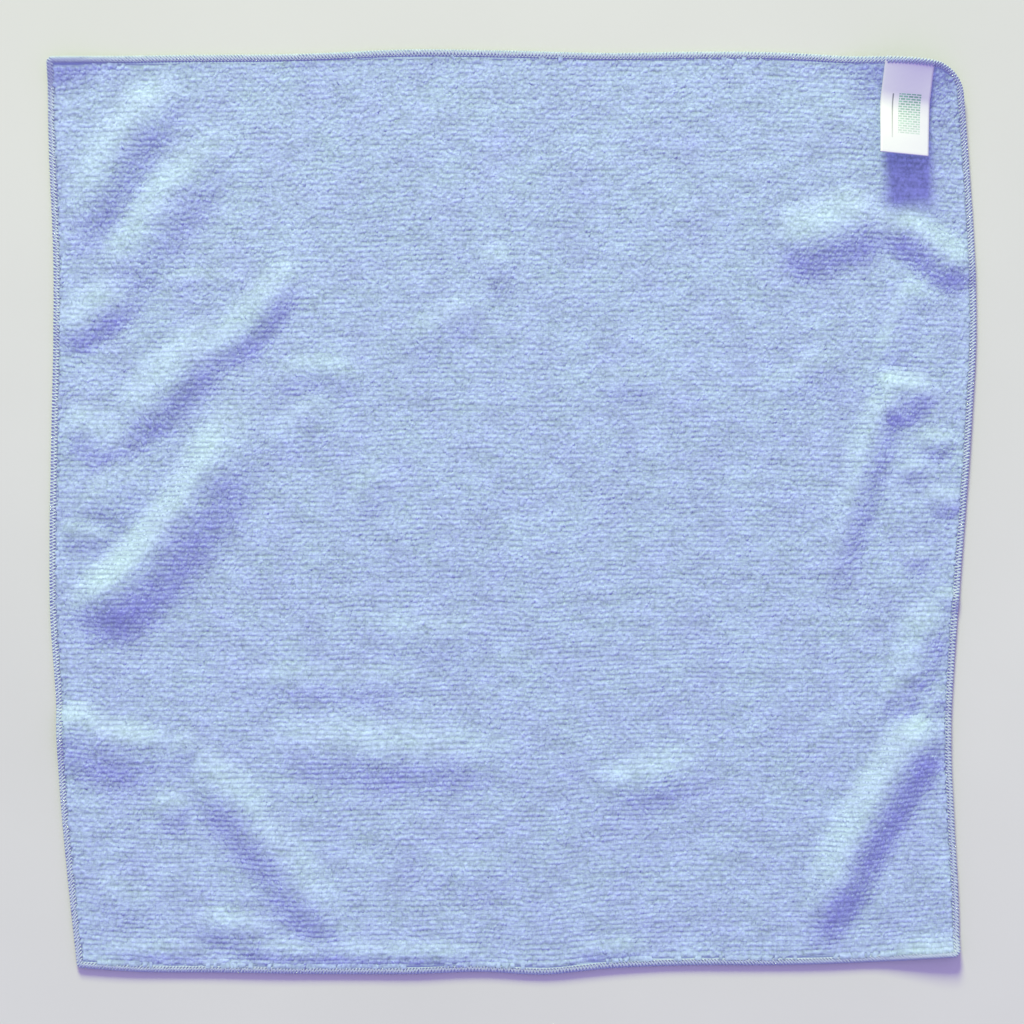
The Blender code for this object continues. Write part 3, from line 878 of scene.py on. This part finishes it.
def tuft_places():
    """Roots of the tufts on the flat cut. The rows grow looser towards the top of the cloth."""
    random = np.random.default_rng(PILE_SEED)
    reach = HALF_SIDE - PILE_INSET
    x, y = np.meshgrid(np.arange(-reach, reach, TUFT_PITCH), np.arange(-reach, reach, ROW_PITCH))
    x, y = x.ravel(), y.ravel()
    sway = soft_noise(x, y, SWAY_BROAD) + SWAY_FINE_SHARE * soft_noise(x, y, SWAY_FINE)
    uneven = FRAY_UNEVENNESS * soft_noise(x, y, FRAY_NOISE)
    fray = ROW_FRAY * (1 + uneven + FRAY_TOWARDS_TOP * y / HALF_SIDE)
    x = x + random.normal(0.0, TUFT_STRAY * TUFT_PITCH, x.shape)
    y = y + ROW_SWAY * sway + ROW_PITCH * fray * random.normal(0.0, 1.0, y.shape)
    kept = inset_of(x, y) > PILE_INSET
    return x[kept], y[kept], random


def surface_axes(x, y):
    """Points on the cloth's top face, and there the ways to its right, to its top and up."""
    here = surface_points(x, y, BODY_THICKNESS)
    side = surface_points(x + SLOPE_STEP, y, BODY_THICKNESS) - here
    away = surface_points(x, y + SLOPE_STEP, BODY_THICKNESS) - here
    normal = np.cross(side, away)
    normal /= np.linalg.norm(normal, axis=1, keepdims=True)
    side /= np.linalg.norm(side, axis=1, keepdims=True)
    return here, side, np.cross(normal, side), normal


def tuft_points(x, y, shape, random):
    """All tufts' points, as (tufts, points, 3), and the cloth's normal under each tuft."""
    count = len(x)
    here, side, away, normal = surface_axes(x, y)
    turn = TURN_ALIKE * soft_noise(x, y, TURN_NOISE) + random.normal(0.0, TURN_BY_CHANCE, count)
    along = side * np.cos(turn)[:, None] + away * np.sin(turn)[:, None]
    across = np.cross(normal, along)
    lean_x = LEAN_ALIKE * soft_noise(x, y, LEAN_X_NOISE) + random.normal(0.0, LEAN_BY_CHANCE, count)
    lean_y = LEAN_ALIKE * soft_noise(x, y, LEAN_Y_NOISE) + random.normal(0.0, LEAN_BY_CHANCE, count)
    long = random.uniform(*TUFT_LONG, count)
    wide = random.uniform(*TUFT_WIDE, count)
    tall = random.uniform(*TUFT_TALL, count)
    raised = np.maximum(shape[:, 2], 0)
    local_x = shape[:, 0] * long[:, None] + raised * lean_x[:, None]
    local_y = shape[:, 1] * wide[:, None] + raised * lean_y[:, None]
    local_z = shape[:, 2] * tall[:, None]
    points = (
        here[:, None, :]
        + local_x[:, :, None] * along[:, None, :]
        + local_y[:, :, None] * across[:, None, :]
        + local_z[:, :, None] * normal[:, None, :]
    )
    return points, normal


def make_pile():
    """The pile, as a few joined meshes of tufts."""
    x, y, random = tuft_places()
    shape, faces = tuft_shape()
    points, normal = tuft_points(x, y, shape, random)
    tone = random.normal(0.0, 1.0, len(x))
    on_crown = shape[:, 2] > 0
    material = pile_material()
    pieces = []
    for part, chosen in enumerate(np.array_split(np.arange(len(x)), PILE_PIECES)):
        starts = np.arange(len(chosen))[:, None, None] * len(shape)
        piece_faces = (faces[None, :, :] + starts).reshape(-1, 3)
        piece = mesh_object(f"pile_{part + 1}", points[chosen].reshape(-1, 3), piece_faces, material)
        tones = piece.data.attributes.new("tone", "FLOAT", "POINT")
        tones.data.foreach_set("value", np.repeat(tone[chosen], len(shape)).astype(np.float32))
        crowns = piece.data.attributes.new("crown", "FLOAT", "POINT")
        crowns.data.foreach_set("value", np.tile(on_crown, len(chosen)).astype(np.float32))
        soften(piece.data, np.repeat(normal[chosen], len(shape), axis=0))
        pieces.append(piece)
    return pieces


def soften(mesh, towards):
    """Turns a mesh's shading normals part of the way to those of the cloth beneath it."""
    own = np.empty(len(mesh.vertices) * 3, np.float32)
    mesh.vertex_normals.foreach_get("vector", own)
    soft = own.reshape(-1, 3) * (1 - PILE_SOFTNESS) + towards * PILE_SOFTNESS
    soft /= np.linalg.norm(soft, axis=1, keepdims=True)
    mesh.normals_split_custom_set_from_vertices(soft.tolist())


# ---- The overlock ----

def rim_cut(share, inset):
    """Points of the flat cut at each share of the way round it, at an inset from the rim."""
    half = HALF_SIDE - inset
    side = np.floor(share * 4).astype(int) % 4
    t = (share * 4 - np.floor(share * 4)) * 2 - 1
    x = np.choose(side, (t * half, half, -t * half, -half))
    y = np.choose(side, (-half, t * half, half, -t * half))
    return x, y


def tube_mesh(paths, normals, width, depth):
    """Flat-sided tubes along many paths of as many points: (points, quads)."""
    count, steps = paths.shape[:2]
    forward = np.gradient(paths, axis=1)
    forward /= np.linalg.norm(forward, axis=2, keepdims=True)
    beside = np.cross(forward, normals)
    beside /= np.linalg.norm(beside, axis=2, keepdims=True)
    above = np.cross(beside, forward)
    ring = ((width / 2, 0), (0, depth / 2), (-width / 2, 0), (0, -depth / 2))
    points = np.stack([paths + a * beside + b * above for a, b in ring], axis=2)
    at = np.arange(count * steps * 4).reshape(count, steps, 4)
    quads = []
    for corner in range(4):
        after = (corner + 1) % 4
        quads.append(np.stack(
            (at[:, :-1, corner], at[:, :-1, after], at[:, 1:, after], at[:, 1:, corner]), axis=2
        ).reshape(-1, 4))
    ends = np.concatenate((at[:, 0, ::-1], at[:, -1, :]))
    return points.reshape(-1, 3), np.concatenate(quads + [ends])


def over_label(cut_x, cut_y):
    """1 for points of the top edge that lie under the label's root, and 0 clear of it."""
    across = cut_x + (0.5 - LABEL_EDGE_SHARE) * CLOTH_SIDE
    raised_width = LABEL_WIDTH / 2 + LABEL_SEWN_MARGIN
    within = soft_step((raised_width - abs(across)) / LABEL_SEWN_FADE)
    return np.where(cut_y > 0.9 * HALF_SIDE, within, 0.0)


def make_loops(starts, material):
    """Thread loops over the edge, one slanting each way from each stitch's start."""
    stitches = len(starts)
    wobble = np.random.default_rng(STITCH_SEED).normal(0.0, STITCH_WOBBLE, stitches)
    paths = []
    normals = []
    for slant in (1, -1):
        rows = []
        ups = []
        for point in LOOP_WAY:
            share = (starts + slant * (point.forward + wobble) / stitches) % 1.0
            cut = rim_cut(share, point.inset)
            rows.append(surface_points(*cut, point.height + LABEL_SEWN_BULGE * over_label(*cut)))
            core = surface_points(*rim_cut(share, CORE_INSET), CORE_HEIGHT)
            ups.append(rows[-1] - core)
        paths.append(np.stack(rows, axis=1))
        normals.append(np.stack(ups, axis=1))
    paths = np.concatenate(paths)
    normals = np.concatenate(normals)
    points, quads = tube_mesh(paths, normals, THREAD_WIDTH, THREAD_DEPTH)
    return mesh_object("overlock_loops", points, quads, material)


def make_needle_line(starts, material):
    """The needle's line of stitches, inside the loops."""
    rows = []
    for point in NEEDLE_WAY:
        share = (starts + point.forward / len(starts)) % 1.0
        rows.append(surface_points(*rim_cut(share, point.inset), point.height))
    paths = np.stack(rows, axis=1)
    up = np.zeros(paths.shape)
    up[..., 2] = 1.0
    points, quads = tube_mesh(paths, up, NEEDLE_WIDTH, NEEDLE_DEPTH)
    return mesh_object("overlock_needle", points, quads, material)


def make_overlock():
    stitches = round(4 * CLOTH_SIDE / STITCH_PITCH)
    starts = np.arange(stitches) / stitches
    material = thread_material()
    return [make_loops(starts, material), make_needle_line(starts, material)]


# ---- The label ----

def label_level(across, run):
    """Where the solid label runs over the solid cloth: its plan, and the cloth's height there."""
    edge = laid_plan(np.array([(LABEL_EDGE_SHARE - 0.5) * CLOTH_SIDE]), np.array([HALF_SIDE]))
    turn = LABEL_TURN * np.minimum(run, LABEL_CREASE)
    turn = turn + LABEL_TURN_PAST * np.maximum(run - LABEL_CREASE, 0)
    x = edge[0][0] + across - turn
    y = edge[1][0] - run - LABEL_SKEW * across
    return x, y, solid_height(x, y)


def label_place(across, run):
    """Where the label's underside is, at a place across it and a run from the cloth's edge."""
    pasts = [rise.past for rise in LABEL_RISES]
    past = run - LABEL_CREASE - LABEL_CREASE_SLANT * across
    x, y, beneath = label_level(across, run)
    free = soft_step(past / pasts[-1])
    flat = beneath + (label_level(np.zeros(across.shape), run)[2] - beneath) * free
    rise = smooth_through(pasts, [r.height for r in LABEL_RISES], np.clip(past, pasts[0], pasts[-1]))
    z = flat + rise - LABEL_TWIST * free * across / LABEL_WIDTH
    sewn = LABEL_SEWN_DROP * (1 - soft_step(run / LABEL_SEWN_RUN))
    lie = CLOTH_THICKNESS + GAP - sewn
    return np.column_stack((x, y, np.maximum(z, beneath) + lie)) + shift


def make_label():
    """The ribbon runs out from the seam, turns over at the free end, and comes back on top."""
    bend = LABEL_THICKNESS / 2 - RIBBON_THICKNESS
    out = np.linspace(LABEL_START, LABEL_END - bend, LABEL_ALONG)
    turn = np.linspace(0, np.pi, LABEL_FOLD_STEPS + 2)[1:-1]
    runs = np.concatenate((out, LABEL_END - bend + bend * np.sin(turn), out[::-1]))
    lifts = np.concatenate((np.full(LABEL_ALONG, -bend), -bend * np.cos(turn), np.full(LABEL_ALONG, bend)))
    pressed = 1 - LABEL_PRESS * (1 - soft_step(runs / LABEL_SEWN_RUN))
    heights = lifts * pressed + LABEL_THICKNESS / 2 * pressed
    share = np.linspace(-0.5, 0.5, LABEL_ACROSS + 1)
    across, run = (part.ravel() for part in np.meshgrid(share * LABEL_WIDTH, runs))
    points = label_place(across, run)
    points[:, 2] += np.repeat(heights, len(share))
    label = mesh_object("label_ribbon", points, grid_faces(len(share), len(runs)), satin_material())
    uv = label.data.uv_layers.new(name="ribbon")
    loops = np.empty(len(label.data.loops), np.int32)
    label.data.loops.foreach_get("vertex_index", loops)
    middle = points.reshape(len(runs), len(share), 3)[:, LABEL_ACROSS // 2]
    length = np.concatenate(([0.0], np.cumsum(np.linalg.norm(np.diff(middle, axis=0), axis=1))))
    places = np.column_stack((across[loops], np.repeat(length, len(share))[loops]))
    uv.data.foreach_set("uv", places.astype(np.float32).ravel())
    solidify = label.modifiers.new("Thickness", "SOLIDIFY")
    solidify.thickness = RIBBON_THICKNESS
    solidify.offset = 0.0
    apply_modifiers(label)
    return label, length.max()


# ---- Floor, light and view ----

def make_floor():
    mesh = bpy.data.meshes.new("floor")
    grid = bmesh.new()
    bmesh.ops.create_grid(
        grid, x_segments=FLOOR_CELLS, y_segments=FLOOR_CELLS, size=FLOOR_HALF_SIDE
    )
    grid.to_mesh(mesh)
    grid.free()
    mesh.materials.append(floor_material())
    floor = bpy.data.objects.new("floor", mesh)
    floor.location.z = -FLOOR_DROP
    bpy.context.scene.collection.objects.link(floor)


def make_light(name, azimuth, elevation, distance, size, power, colour):
    """A square area light aimed at the cloth. Azimuth turns from +Y towards -X, in degrees."""
    turn, climb = np.radians(azimuth), np.radians(elevation)
    place = Vector((-np.sin(turn) * np.cos(climb), np.cos(turn) * np.cos(climb), np.sin(climb)))
    data = bpy.data.lights.new(name, "AREA")
    data.size = size
    data.energy = power
    data.color = colour
    lamp = bpy.data.objects.new(name, data)
    lamp.location = place * distance
    lamp.rotation_mode = "QUATERNION"
    lamp.rotation_quaternion = place.to_track_quat("Z", "Y")
    bpy.context.scene.collection.objects.link(lamp)


def make_world(colour, strength):
    world = bpy.data.worlds.new("studio")
    world.use_nodes = True
    background = world.node_tree.nodes["Background"]
    background.inputs["Color"].default_value = colour
    background.inputs["Strength"].default_value = strength
    bpy.context.scene.world = world


def make_camera():
    data = bpy.data.cameras.new("camera")
    data.lens = LENS
    data.sensor_width = SENSOR
    camera = bpy.data.objects.new("camera", data)
    camera.location = (0.0, 0.0, PICTURE_LEVEL + PICTURE_WIDTH * LENS / SENSOR)
    bpy.context.scene.collection.objects.link(camera)
    bpy.context.scene.camera = camera


def main():
    make_camera()
    make_floor()
    make_light(
        "key", azimuth=8.0, elevation=24.0, distance=4.5, size=1.20, power=317.0, colour=KEY_COLOUR
    )
    make_world(SKY_COLOUR, SKY_STRENGTH)
    bpy.context.scene.view_settings.view_transform = "Standard"

    sheet = make_sheet()
    pile = make_pile()
    overlock = make_overlock()
    label, label_length = make_label()
    for piece in [sheet, *pile, *overlock, label]:
        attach(piece, "root")
    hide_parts("cloth")
    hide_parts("label")


main()
